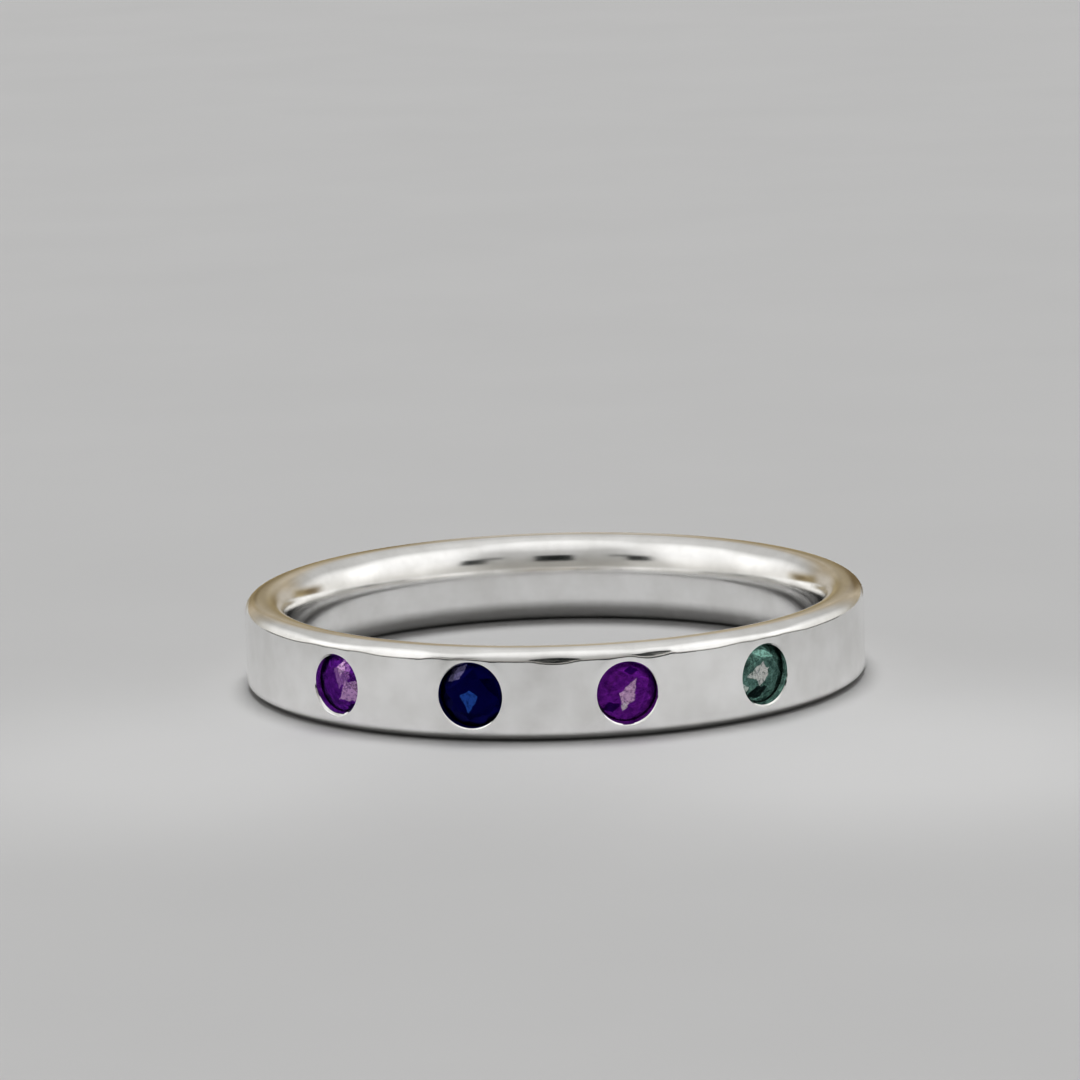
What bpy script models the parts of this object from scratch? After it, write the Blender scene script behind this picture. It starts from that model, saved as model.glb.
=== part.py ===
"""Stackable ring: a polished silver band with four round stones set flush in its flat outer face.

The ring lies on its side, as it would by itself on a table. Its axis is +Z, it stands on z = 0,
and the row of stones is centred on -Y. All sizes are in metres.
"""

import math
from collections import namedtuple

import bmesh
import bpy
from mathutils import Vector

# Driving sizes of the band
FINGER_DIAMETER = 0.0177  # narrowest inside diameter, halfway up the band
WALL = 0.0015  # from the narrowest inside to the outer face
BAND_WIDTH = 0.0030  # along the finger, so this is the height of the ring as it lies
SHOULDER_RISE = 0.00039  # how far each rounded side swells past the edge of the outer face
SHOULDER_RUN = 0.00048  # from the outer face in to the crest of the rounded side
CREST_FLAT = 0.00010  # narrow flat polished along each crest, which the ring rests on
INSIDE_SQUARENESS = 2.4  # 2 makes the rounded inside an ellipse, more makes it flatter

# Driving sizes of the stones and their setting
LEFT_PURPLE_DIAMETER = 0.00200
BLUE_DIAMETER = 0.00220
RIGHT_PURPLE_DIAMETER = 0.00208
GREEN_DIAMETER = 0.00205
STONE_STEP = math.radians(28)  # angle from one stone to the next round the band
LIP = 0.00005  # how far the burnished metal reaches in over the edge of each stone
BRIGHT_CUT = 0.00004  # width of the bright bevel cut round each stone
TABLE_RECESS = 0.00003  # how far a stone's table lies below the outer face
STONE_CLEARANCE = 0.00002  # gap between a stone and the metal of its seat
BACK_HOLE = 0.00055  # diameter of the hole drilled through the band behind each stone

# Proportions of a round brilliant, as shares of its diameter or of a facet's own reach
TABLE_SHARE = 0.56
GIRDLE_SHARE = 0.05
STAR_REACH = 0.50  # how far the star facets reach from the table to the girdle
HALF_REACH = 0.75  # how far the lower halves reach from the girdle to the point
CROWN_ANGLE = math.radians(33)
PAVILION_ANGLE = math.radians(40)
MAIN_FACETS = 8

Finish = namedtuple("Finish", "color roughness metallic transmission")
SILVER = Finish((0.86, 0.86, 0.84), 0.08, 1.0, 0.0)
PURPLE_GEM = Finish((0.20, 0.03, 0.36), 0.03, 0.0, 0.8)
BLUE_GEM = Finish((0.01, 0.01, 0.14), 0.03, 0.0, 0.8)
LILAC_GEM = Finish((0.22, 0.03, 0.38), 0.03, 0.0, 0.8)
GREEN_GEM = Finish((0.06, 0.20, 0.17), 0.03, 0.0, 0.8)

# The stones, from left to right as seen from their side
Stone = namedtuple("Stone", "name diameter finish")
STONES = (
    Stone("left_purple_stone", LEFT_PURPLE_DIAMETER, PURPLE_GEM),
    Stone("blue_stone", BLUE_DIAMETER, BLUE_GEM),
    Stone("right_purple_stone", RIGHT_PURPLE_DIAMETER, LILAC_GEM),
    Stone("green_stone", GREEN_DIAMETER, GREEN_GEM),
)

# How finely round shapes are cut
BAND_STEPS = 96
SEAT_STEPS = 32
INSIDE_POINTS = 14
SHOULDER_POINTS = 5
MERGE_DISTANCE = 0.000001

OUTER_RADIUS = FINGER_DIAMETER / 2 + WALL
INNER_RADIUS = FINGER_DIAMETER / 2
MIDDLE = BAND_WIDTH / 2
FACET_STEP = 2 * math.pi / MAIN_FACETS


def empty_scene():
    for thing in list(bpy.data.objects):
        bpy.data.objects.remove(thing)


def new_collection(name):
    collection = bpy.data.collections.new(name)
    bpy.context.scene.collection.children.link(collection)
    return collection


def add_object(name, mesh, collection):
    made = bpy.data.objects.new(name, mesh)
    collection.objects.link(made)
    return made


def give_finish(thing, finish):
    """Gives a piece its own material."""
    made = bpy.data.materials.new(thing.name)
    made.use_nodes = True
    shader = made.node_tree.nodes["Principled BSDF"]
    shader.inputs["Base Color"].default_value = (*finish.color, 1)
    shader.inputs["Roughness"].default_value = finish.roughness
    shader.inputs["Metallic"].default_value = finish.metallic
    shader.inputs["Transmission Weight"].default_value = finish.transmission
    thing.data.materials.append(made)


def turned(name, profile, steps, collection, closed_loop):
    """A turned shape: a profile of (radius, height) points, down the outside, spun round Z."""
    shape = bmesh.new()
    points = [shape.verts.new((radius, 0, height)) for radius, height in profile]
    for upper, lower in zip(points, points[1:]):
        shape.edges.new((upper, lower))
    if closed_loop:
        shape.edges.new((points[-1], points[0]))
    mesh = bpy.data.meshes.new(name)
    shape.to_mesh(mesh)
    shape.free()
    made = add_object(name, mesh, collection)
    screw = made.modifiers.new("Turn", "SCREW")
    screw.axis = "Z"
    screw.steps = steps
    screw.render_steps = steps
    screw.use_merge_vertices = True
    screw.merge_threshold = MERGE_DISTANCE
    return made


def upper_shoulder():
    """The rounded side from the upper crest out and down to the edge of the flat face.

    It is one arc, level at the crest, which meets the face at a soft corner."""
    sweep = 2 * math.atan2(SHOULDER_RISE, SHOULDER_RUN)
    radius = SHOULDER_RUN / math.sin(sweep)
    crest = OUTER_RADIUS - SHOULDER_RUN
    points = []
    for i in range(SHOULDER_POINTS + 1):
        turn = sweep * i / SHOULDER_POINTS
        across = crest + radius * math.sin(turn)
        points.append((across, BAND_WIDTH - radius * (1 - math.cos(turn))))
    return points


def inside():
    """The comfort-fit inside, from the lower crest round to the upper crest: a squared ellipse."""
    depth = WALL - SHOULDER_RUN - CREST_FLAT
    points = []
    for i in range(INSIDE_POINTS + 1):
        turn = math.pi * i / INSIDE_POINTS - math.pi / 2
        across = abs(math.cos(turn)) ** (2 / INSIDE_SQUARENESS)
        up = math.copysign(abs(math.sin(turn)) ** (2 / INSIDE_SQUARENESS), turn)
        points.append((INNER_RADIUS + depth * (1 - across), MIDDLE * (1 + up)))
    return points


def make_band(collection):
    upper = upper_shoulder()
    lower = [(radius, BAND_WIDTH - height) for radius, height in reversed(upper)]
    band = turned("band", upper + lower + inside(), BAND_STEPS, collection, True)
    give_finish(band, SILVER)
    return band


def place_on_face(thing, index):
    """Puts a thing's origin on the outer face at a stone's angle, with its +Z pointing outward."""
    angle = STONE_STEP * (index - (len(STONES) - 1) / 2)
    outward = Vector((math.sin(angle), -math.cos(angle), 0))
    thing.rotation_euler = (math.pi / 2, 0, angle)
    thing.location = outward * OUTER_RADIUS + Vector((0, 0, MIDDLE))


Cut = namedtuple("Cut", "girdle table star half top star_tip crown_foot girdle_foot half_tip point")


def brilliant_cut(diameter):
    """Radii and heights of a round brilliant, with height 0 at the band's outer face."""
    girdle = diameter / 2
    table = girdle * TABLE_SHARE
    star = table + (girdle - table) * STAR_REACH
    half = girdle * (1 - HALF_REACH)
    between = math.cos(FACET_STEP / 2)  # a main facet's reach, seen along the line between two mains
    top = -TABLE_RECESS
    star_tip = top - (star * between - table) * math.tan(CROWN_ANGLE)
    crown_foot = top - (girdle - table) * math.tan(CROWN_ANGLE)
    girdle_foot = crown_foot - diameter * GIRDLE_SHARE
    point = girdle_foot - girdle * math.tan(PAVILION_ANGLE)
    half_tip = point + half * between * math.tan(PAVILION_ANGLE)
    return Cut(girdle, table, star, half, top, star_tip, crown_foot, girdle_foot, half_tip, point)


def on_circle(radius, turn, height):
    return Vector((radius * math.cos(turn), radius * math.sin(turn), height))


def grind(shape, corners, heart):
    """Grinds one facet: the plane through three corners, with everything beyond it gone."""
    first, second, third = corners
    normal = (second - first).cross(third - first).normalized()
    if normal.dot(first - heart) < 0:
        normal.negate()
    parts = shape.verts[:] + shape.edges[:] + shape.faces[:]
    cut = bmesh.ops.bisect_plane(
        shape, geom=parts, dist=MERGE_DISTANCE / 10, plane_co=first, plane_no=normal, clear_outer=True
    )
    rim = [part for part in cut["geom_cut"] if isinstance(part, bmesh.types.BMEdge)]
    open_rim = [edge for edge in rim if edge.is_boundary]
    if open_rim:
        bmesh.ops.edgeloop_fill(shape, edges=open_rim)


def brilliant_mesh(name, diameter):
    """A round brilliant, ground from a rod the way a stone is: mains first, then stars and halves."""
    cut = brilliant_cut(diameter)
    heart = Vector((0, 0, cut.girdle_foot))
    tip = Vector((0, 0, cut.point))
    shape = bmesh.new()
    bmesh.ops.create_cone(
        shape,
        cap_ends=True,
        segments=2 * MAIN_FACETS,
        radius1=cut.girdle,
        radius2=cut.girdle,
        depth=cut.top - cut.point,
    )
    bmesh.ops.translate(shape, verts=shape.verts, vec=(0, 0, (cut.top + cut.point) / 2))

    turns = [FACET_STEP * i for i in range(MAIN_FACETS)]
    for turn in turns:
        sideways = on_circle(cut.girdle, turn + math.pi / 2, 0)
        rim_top = on_circle(cut.girdle, turn, cut.crown_foot)
        rim_foot = on_circle(cut.girdle, turn, cut.girdle_foot)
        grind(shape, (on_circle(cut.table, turn, cut.top), rim_top, rim_top + sideways), heart)
        grind(shape, (tip, rim_foot, rim_foot + sideways), heart)
    for turn in turns:
        middle = turn + FACET_STEP / 2
        star_tip = on_circle(cut.star, middle, cut.star_tip)
        half_tip = on_circle(cut.half, middle, cut.half_tip)
        table_side = (on_circle(cut.table, side, cut.top) for side in (turn, turn + FACET_STEP))
        grind(shape, (*table_side, star_tip), heart)
        for side in (turn, turn + FACET_STEP):
            rim_top = (on_circle(cut.girdle, angle, cut.crown_foot) for angle in (side, middle))
            rim_foot = (on_circle(cut.girdle, angle, cut.girdle_foot) for angle in (side, middle))
            grind(shape, (*rim_top, star_tip), heart)
            grind(shape, (*rim_foot, half_tip), heart)
    bmesh.ops.remove_doubles(shape, verts=shape.verts, dist=MERGE_DISTANCE)
    bmesh.ops.recalc_face_normals(shape, faces=shape.faces)
    mesh = bpy.data.meshes.new(name)
    shape.to_mesh(mesh)
    shape.free()
    return mesh


def seat_profile(diameter):
    """The cutter of one seat, with height 0 at the outer face.

    Down its outside: bright cut, lip over the stone's edge, groove round the girdle, cone under the
    stone, and the hole that opens the seat to the inside of the band."""
    cut = brilliant_cut(diameter)
    opening = cut.girdle - LIP
    groove = cut.girdle + STONE_CLEARANCE
    hole = BACK_HOLE / 2
    crown_fall = (cut.star_tip - cut.crown_foot) / ((cut.girdle - cut.star) * math.cos(FACET_STEP / 4))
    above_crown = STONE_CLEARANCE * math.hypot(1, crown_fall)
    under_girdle = cut.girdle_foot - STONE_CLEARANCE / math.cos(PAVILION_ANGLE)
    past_wall = 2 * WALL
    return [
        (0, past_wall),
        (opening + BRIGHT_CUT, past_wall),
        (opening + BRIGHT_CUT, 0),
        (opening, cut.crown_foot + LIP * crown_fall + above_crown),
        (groove, cut.crown_foot - STONE_CLEARANCE * crown_fall + above_crown),
        (groove, under_girdle),
        (hole, under_girdle - (groove - hole) * math.tan(PAVILION_ANGLE)),
        (hole, -past_wall),
        (0, -past_wall),
    ]


def cut_seat(band, stone, index, collection):
    seat = turned(stone.name + "_seat", seat_profile(stone.diameter), SEAT_STEPS, collection, False)
    seat.hide_render = True
    seat.display_type = "WIRE"
    place_on_face(seat, index)
    boolean = band.modifiers.new("Seat for " + stone.name, "BOOLEAN")
    boolean.operation = "DIFFERENCE"
    boolean.solver = "EXACT"
    boolean.object = seat


def make_stone(stone, index, collection):
    gem = add_object(stone.name, brilliant_mesh(stone.name, stone.diameter), collection)
    give_finish(gem, stone.finish)
    place_on_face(gem, index)


def main():
    empty_scene()
    ring = new_collection("stackable_ring")
    cutters = new_collection("cutters")
    band = make_band(ring)
    for index, stone in enumerate(STONES):
        cut_seat(band, stone, index, cutters)
        make_stone(stone, index, ring)


main()
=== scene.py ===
# %% [markdown]
# # A stacking ring with four stones set flush in its face
#
# The object is a narrow ring of polished silver, lying on its side. Its outer face is flat, its
# two sides are rounded over, and its inside is rounded too, so that it slides over a knuckle.
# Four small round stones lie in a row, sunk into the metal until their tops are level with it.
#
# The measured CAD model comes first. It is the frame: every new piece takes its size and its
# place from it, so nothing has to be fitted by eye.

# %% Load the frame
import math

import bmesh
import bpy
from mathutils import Matrix, Vector


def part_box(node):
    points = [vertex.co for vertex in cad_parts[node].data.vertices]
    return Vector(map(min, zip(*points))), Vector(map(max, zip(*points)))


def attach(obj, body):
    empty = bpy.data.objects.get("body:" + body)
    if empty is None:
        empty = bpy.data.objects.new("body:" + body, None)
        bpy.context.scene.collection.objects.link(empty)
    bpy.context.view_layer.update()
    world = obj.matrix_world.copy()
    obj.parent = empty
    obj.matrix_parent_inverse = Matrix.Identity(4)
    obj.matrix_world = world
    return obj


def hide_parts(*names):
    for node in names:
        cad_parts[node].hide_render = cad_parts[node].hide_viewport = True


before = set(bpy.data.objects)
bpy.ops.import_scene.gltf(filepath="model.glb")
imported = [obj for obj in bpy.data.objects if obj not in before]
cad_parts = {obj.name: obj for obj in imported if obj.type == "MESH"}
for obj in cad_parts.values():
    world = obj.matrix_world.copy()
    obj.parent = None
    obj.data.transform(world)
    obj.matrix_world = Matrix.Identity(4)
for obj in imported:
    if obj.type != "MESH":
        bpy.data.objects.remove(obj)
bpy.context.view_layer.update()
print("CAD nodes:", sorted(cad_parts))

# %% [markdown]
# ## Sizes
#
# The band's own box gives its outer radius and its width. The other sizes repeat the driving
# sizes of the CAD model, in metres, because this script can't read that file. Each is the
# distance a goldsmith would set on a gauge.

# %% Sizes of the band and of the setting
MM = 0.001
band_low, band_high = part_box("band")
OUTER_RADIUS = (band_high.x - band_low.x) / 2
BAND_WIDTH = band_high.z - band_low.z
MIDDLE = BAND_WIDTH / 2
WALL = 1.5 * MM
SHOULDER_RISE = 0.39 * MM
SHOULDER_RUN = 0.48 * MM
LOWER_RISE = 0.22 * MM
LOWER_RUN = 0.42 * MM
CREST_FLAT = 0.10 * MM
INSIDE_SQUARENESS = 2.4
STONE_STEP = math.radians(28)
LIP = 0.05 * MM
TABLE_RECESS = 0.03 * MM
STONE_CLEARANCE = 0.02 * MM
BACK_HOLE = 0.55 * MM
MERGE_DISTANCE = 0.0001 * MM
print(f"band: {2000 * OUTER_RADIUS:.2f} mm across, {1000 * BAND_WIDTH:.2f} mm wide")

# %% [markdown]
# ## The camera
#
# The photograph was taken with a long lens from low in front of the ring: the camera looks down
# by about eleven degrees, a little from the right, and is tilted by less than two degrees. These
# numbers were found by fitting the ring's outline, so they are kept as they are. `to_track_quat`
# turns a direction into a rotation, and a last small turn about the camera's own Z tilts it.
# The clipping distances only have to enclose the ring and the floor.

# %% Place the camera
CAMERA_PLACE = (4.57 * MM, -182.5 * MM, 38.65 * MM)
CAMERA_AIM = Vector((-0.42 * MM, 0, 4.60 * MM))
CAMERA_TILT = math.radians(-1.68)
camera_data = bpy.data.cameras.new("camera")
camera_data.lens = 185.2
camera_data.sensor_width = 36
camera_data.clip_start = 0.01
camera_data.clip_end = 10
camera = bpy.data.objects.new("camera", camera_data)
bpy.context.scene.collection.objects.link(camera)
camera.location = CAMERA_PLACE
look = (CAMERA_AIM - camera.location).to_track_quat("-Z", "Y").to_matrix()
camera.rotation_euler = (look @ Matrix.Rotation(CAMERA_TILT, 3, "Z")).to_euler()
bpy.context.scene.camera = camera
print(f"camera {1000 * camera.location.length:.0f} mm away, lens {camera_data.lens:.1f} mm")

# %% [markdown]
# ## The band's section
#
# A real band like this is rolled to a D-shaped wire or cast, then turned on a lathe. So the
# natural way to model it is the lathe's: draw half a section once and spin it round the axis.
#
# The section has four parts: the flat outer face, an arc over each side, and a squared ellipse
# for the comfort-fit inside. The arc of the side that it lies on is a little tighter, as the
# photograph shows under the face. More points go where the surface bends. Two points close
# beside each corner of the face keep that corner crisp when the mesh is shaded smooth.

# %% Draw the section
SHOULDER_POINTS = 14
INSIDE_POINTS = 40
MIDDLE_ROWS = 14
CORNER_ROWS = 8
CORNER_ZONE = 0.30 * MM
CORNER_SOFTNESS = 0.02 * MM


def shoulder(rise, run):
    """From the crest out to the corner of the face, as (radius, depth under the crest)."""
    sweep = 2 * math.atan2(rise, run)
    radius = run / math.sin(sweep)
    crest = OUTER_RADIUS - run
    turns = [sweep * i / SHOULDER_POINTS for i in range(SHOULDER_POINTS)]
    turns.append(sweep - CORNER_SOFTNESS / radius)
    return [(crest + radius * math.sin(t), radius * (1 - math.cos(t))) for t in turns]


def outer_face():
    """Down the flat face. Its rows are closer together near the corners, where it is worked."""
    top = BAND_WIDTH - SHOULDER_RISE - CORNER_SOFTNESS
    middle_top = top - CORNER_ZONE
    middle = 2 * (middle_top - MIDDLE)
    near_top = [top - CORNER_ZONE * i / CORNER_ROWS for i in range(CORNER_ROWS)]
    between = [middle_top - middle * i / MIDDLE_ROWS for i in range(MIDDLE_ROWS + 1)]
    bottom = LOWER_RISE + CORNER_SOFTNESS
    middle_bottom = BAND_WIDTH - middle_top
    below = bottom - middle_bottom
    near_bottom = [middle_bottom + below * i / CORNER_ROWS for i in range(1, CORNER_ROWS + 1)]
    return [(OUTER_RADIUS, height) for height in near_top + between + near_bottom]


def inside():
    """The comfort-fit inside, from the lower crest round to the upper crest."""
    depth = WALL - SHOULDER_RUN - CREST_FLAT
    points = []
    for i in range(INSIDE_POINTS + 1):
        turn = math.pi * i / INSIDE_POINTS - math.pi / 2
        across = abs(math.cos(turn)) ** (2 / INSIDE_SQUARENESS)
        up = math.copysign(abs(math.sin(turn)) ** (2 / INSIDE_SQUARENESS), turn)
        points.append((OUTER_RADIUS - WALL + depth * (1 - across), MIDDLE * (1 + up)))
    return points


upper = [(radius, BAND_WIDTH - depth) for radius, depth in shoulder(SHOULDER_RISE, SHOULDER_RUN)]
lower = list(reversed(shoulder(LOWER_RISE, LOWER_RUN)))
section = upper + outer_face() + lower + inside()
print("points in the section:", len(section))

# %% [markdown]
# ## Spinning a section
#
# `bmesh.ops.spin` does what the lathe does. A full turn needs `use_merge`, which joins the last
# step to the first. Points on the axis pile up on each other, so doubles are merged, and then
# the normals are worked out again, because a spin can leave a shape inside out.


# %% A lathe for any section
def add_piece(name, shape):
    """Turns a finished bmesh into an object at the origin."""
    mesh = bpy.data.meshes.new(name)
    shape.to_mesh(mesh)
    shape.free()
    piece = bpy.data.objects.new(name, mesh)
    bpy.context.scene.collection.objects.link(piece)
    return piece


def turned(points, steps, closed):
    shape = bmesh.new()
    verts = [shape.verts.new((radius, 0, height)) for radius, height in points]
    edges = [shape.edges.new(pair) for pair in zip(verts, verts[1:])]
    if closed:
        edges.append(shape.edges.new((verts[-1], verts[0])))
    bmesh.ops.spin(
        shape,
        geom=verts + edges,
        cent=(0, 0, 0),
        axis=(0, 0, 1),
        angle=2 * math.pi,
        steps=steps,
        use_merge=True,
    )
    bmesh.ops.remove_doubles(shape, verts=shape.verts, dist=MERGE_DISTANCE)
    bmesh.ops.recalc_face_normals(shape, faces=shape.faces)
    return shape


BAND_STEPS = 720
band_shape = turned(section, BAND_STEPS, closed=True)
print("faces of the turned band:", len(band_shape.faces))

# %% [markdown]
# ## Where the stones are
#
# The stones follow each other every 28 degrees round the face. Each has its own place: the
# origin on the face, X along the band, Y up, and Z straight out of the metal. A matrix holds
# that place, so that a stone and its seat are both made lying flat and then moved there together.
#
# The list also holds what the setter did by hand: `turn` is the stone's turn about its own axis
# in degrees, `bright_cut` the width of the bevel round it, and `lean` how far the mouth of its
# seat leans along the band and up. `pressed` is a pressed zone of the face: where it starts and
# how softly, and where it ends and how softly, in degrees round the band.

# %% Stones and their places
stones = {
    "left_purple_stone": {
        "diameter": 2.00 * MM, "slot": "purple_gem", "turn": 8,
        "bright_cut": 0.07 * MM, "lean": (-0.02 * MM, -0.055 * MM),
        "pressed": (-50.5, 4.0, -33.5, 3.0),
    },
    "blue_stone": {
        "diameter": 2.20 * MM, "slot": "blue_gem", "turn": 17,
        "bright_cut": 0.05 * MM, "lean": (-0.02 * MM, -0.02 * MM),
        "pressed": (-22.4, 1.4, -12.0, 6.5),
    },
    "right_purple_stone": {
        "diameter": 2.08 * MM, "slot": "lilac_gem", "turn": 3,
        "bright_cut": 0.055 * MM, "lean": (0.0, -0.055 * MM),
        "pressed": (12.0, 6.5, 22.8, 1.0),
    },
    "green_stone": {
        "diameter": 2.05 * MM, "slot": "green_gem", "turn": 12,
        "bright_cut": 0.055 * MM, "lean": (0.0, -0.05 * MM),
        "pressed": (33.5, 3.0, 50.5, 4.0),
    },
}
for index, stone in enumerate(stones.values()):
    angle = STONE_STEP * (index - (len(stones) - 1) / 2)
    outward = Vector((math.sin(angle), -math.cos(angle), 0))
    spot = outward * OUTER_RADIUS + Vector((0, 0, MIDDLE))
    upright = Matrix.Rotation(math.pi / 2, 4, "X")
    stone["place"] = Matrix.Translation(spot) @ Matrix.Rotation(angle, 4, "Z") @ upright
for name, stone in stones.items():
    low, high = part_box(name)
    print(name, "CAD centre", [round(1000 * c, 2) for c in (low + high) / 2])

# %% [markdown]
# ## Burnished metal round the stones
#
# To hold a flush stone, the setter rubs the rim of its seat down over the edge of the stone with
# a hard steel tool. That pushes a faint swelling of metal up round each seat, and the polished
# surface shows it plainly, because every reflection bends there. The swelling is made by moving
# the band's points out along their normals, most of all at a set distance from each stone. It
# stays inside the band's width, so the ring still lies flat.
#
# The tool also leaves a pressed zone on each side of a stone, where the flat face reaches a
# little farther up. In two spots its corner was rubbed off at a slant, which left small
# lens-shaped facets. These few hundredths of a millimetre make the dark line under the highlight
# swell and thin as it does on the real ring.

# %% How the metal is pushed
SWELL_HEIGHT = 0.010 * MM
SWELL_WIDTH = 0.16 * MM
SWELL_OFFSET = 0.08 * MM
SWELL_REACH = 1.2 * MM
PRESS_OUT = 0.005 * MM
PRESS_UP = 0.055 * MM
PRESS_DEPTH = 0.40 * MM
PRESS_EDGE = 0.10 * MM
PRESS_FADE = 0.05 * MM
PRESS_END = 0.02 * MM
LENSES = ((1.2, 4.0, 0.09 * MM), (18.8, 4.0, 0.09 * MM))  # place and reach in degrees, height
LENS_SLANT = math.tan(math.radians(16))
LENS_END = 0.03 * MM
CORNER = BAND_WIDTH - SHOULDER_RISE


def ramp(value, low, high):
    """Rises smoothly from 0 at low to 1 at high."""
    share = min(max((value - low) / (high - low), 0), 1)
    return share * share * (3 - 2 * share)


def pressed(turn):
    """How far a spot is inside a pressed zone, from 0 to 1. The turn is in degrees."""
    most = 0
    for stone in stones.values():
        start, start_soft, end, end_soft = stone["pressed"]
        inside_start = ramp(turn, start - start_soft, start + start_soft)
        inside_end = 1 - ramp(turn, end - end_soft, end + end_soft)
        most = max(most, inside_start * inside_end)
    return most


print(f"pressed zone at -40 degrees: {pressed(-40):.2f}, at 0 degrees: {pressed(0):.2f}")

# %% Push up the metal round each seat
band_shape.normal_update()
moves = []
for vert in band_shape.verts:
    swell = 0
    for stone in stones.values():
        from_rim = (vert.co - stone["place"].translation).length - stone["diameter"] / 2
        if abs(from_rim) < SWELL_REACH:
            swell += math.exp(-(((from_rim - SWELL_OFFSET) / SWELL_WIDTH) ** 2))
    move = vert.normal * (SWELL_HEIGHT * swell)
    outward = Vector((vert.co.x, vert.co.y, 0))
    if outward.length > OUTER_RADIUS - SHOULDER_RUN:
        turn = math.degrees(math.atan2(vert.co.x, -vert.co.y))
        press = pressed(turn)
        near_corner = ramp(vert.co.z, CORNER - PRESS_DEPTH, CORNER) * (
            1 - ramp(vert.co.z, CORNER + PRESS_FADE, BAND_WIDTH - PRESS_END)
        )
        on_face = ramp(outward.length, OUTER_RADIUS - PRESS_EDGE, OUTER_RADIUS)
        move += outward.normalized() * (PRESS_OUT * press * on_face)
        move.z += PRESS_UP * press * near_corner
        lens_height = max(high * (1 - ((turn - at) / reach) ** 2) for at, reach, high in LENSES)
        lens_foot = CORNER - max(0, lens_height)
        lens_depth = LENS_SLANT * max(0, min(vert.co.z, CORNER) - lens_foot)
        lens_depth *= 1 - ramp(vert.co.z, CORNER, BAND_WIDTH - LENS_END)
        move -= outward.normalized() * lens_depth
    moves.append(move)
for vert, move in zip(band_shape.verts, moves):
    vert.co += move
    vert.co.z = min(max(vert.co.z, 0), BAND_WIDTH)
print(f"largest move {1000 * max(move.length for move in moves):.3f} mm")

# %% [markdown]
# ## Cutting the seats
#
# A setter drills through the band, opens a cone for the stone's pavilion, and turns a small
# slanting bevel at the top, which catches the light from above and is called a bright cut. The
# cutter below has that shape. It is turned like the band, put in place, and taken away from the
# band with a Boolean modifier, as the drill takes metal away. The modifier's result is then read
# back as a plain mesh, so no cutter stays in the scene. Each cutter is turned by half a step
# first, so that none of its corners meets a row of the band.

# %% The proportions of a round brilliant
TABLE_SHARE = 0.56
GIRDLE_SHARE = 0.05
STAR_REACH = 0.50
HALF_REACH = 0.75
CROWN_ANGLE = math.radians(33)
PAVILION_ANGLE = math.radians(40)
MAIN_FACETS = 8
FACET_STEP = 2 * math.pi / MAIN_FACETS


def brilliant_cut(diameter):
    """Radii and heights of a stone, with height 0 at the outer face of the band."""
    girdle = diameter / 2
    table = girdle * TABLE_SHARE
    star = table + (girdle - table) * STAR_REACH
    half = girdle * (1 - HALF_REACH)
    between = math.cos(FACET_STEP / 2)
    crown_foot = -TABLE_RECESS - (girdle - table) * math.tan(CROWN_ANGLE)
    girdle_foot = crown_foot - diameter * GIRDLE_SHARE
    point = girdle_foot - girdle * math.tan(PAVILION_ANGLE)
    return {
        "girdle": girdle,
        "table": table,
        "star": star,
        "half": half,
        "top": -TABLE_RECESS,
        "star_tip": -TABLE_RECESS - (star * between - table) * math.tan(CROWN_ANGLE),
        "crown_foot": crown_foot,
        "girdle_foot": girdle_foot,
        "half_tip": point + half * between * math.tan(PAVILION_ANGLE),
        "point": point,
    }


small_cut = brilliant_cut(2 * MM)
print(f"a stone 2 mm across is {1000 * (small_cut['top'] - small_cut['point']):.2f} mm high")

# %% The outline of a seat cutter
BEVEL = ((1, 0), (0.08, -0.92), (0, -1.6))  # out from the opening and up, in bright-cut widths


def seat_section(diameter, bright_cut):
    """The cutter's outside, and the depth of the lip's edge."""
    cut = brilliant_cut(diameter)
    opening = cut["girdle"] - LIP
    groove = cut["girdle"] + STONE_CLEARANCE
    hole = BACK_HOLE / 2
    fall = (cut["star_tip"] - cut["crown_foot"]) / (
        (cut["girdle"] - cut["star"]) * math.cos(FACET_STEP / 4)
    )
    above = STONE_CLEARANCE * math.hypot(1, fall)
    under_girdle = cut["girdle_foot"] - STONE_CLEARANCE / math.cos(PAVILION_ANGLE)
    lip_edge = cut["crown_foot"] + LIP * fall + above
    points = [
        (0, 2 * WALL),
        (opening + bright_cut, 2 * WALL),
        *((opening + out * bright_cut, up * bright_cut) for out, up in BEVEL),
        (opening, lip_edge),
        (groove, cut["crown_foot"] - STONE_CLEARANCE * fall + above),
        (groove, under_girdle),
        (hole, under_girdle - (groove - hole) * math.tan(PAVILION_ANGLE)),
        (hole, -2 * WALL),
        (0, -2 * WALL),
    ]
    return points, lip_edge


print("points in a cutter's outline:", len(seat_section(2 * MM, 0.05 * MM)[0]))

# %% Cut one seat for each stone
SEAT_STEPS = 128
seats = bmesh.new()
for stone in stones.values():
    points, lip_edge = seat_section(stone["diameter"], stone["bright_cut"])
    seat = turned(points, SEAT_STEPS, closed=False)
    half_step = Matrix.Rotation(math.pi / SEAT_STEPS, 3, "Z")
    bmesh.ops.rotate(seat, verts=seat.verts, cent=(0, 0, 0), matrix=half_step)
    for vert in seat.verts:
        lean = ramp(vert.co.z, lip_edge, 0)
        vert.co += Vector((*stone["lean"], 0)) * lean
    bmesh.ops.transform(seat, matrix=stone["place"], verts=seat.verts)
    seat_mesh = bpy.data.meshes.new("seat")
    seat.to_mesh(seat_mesh)
    seat.free()
    seats.from_mesh(seat_mesh)
    bpy.data.meshes.remove(seat_mesh)

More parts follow.
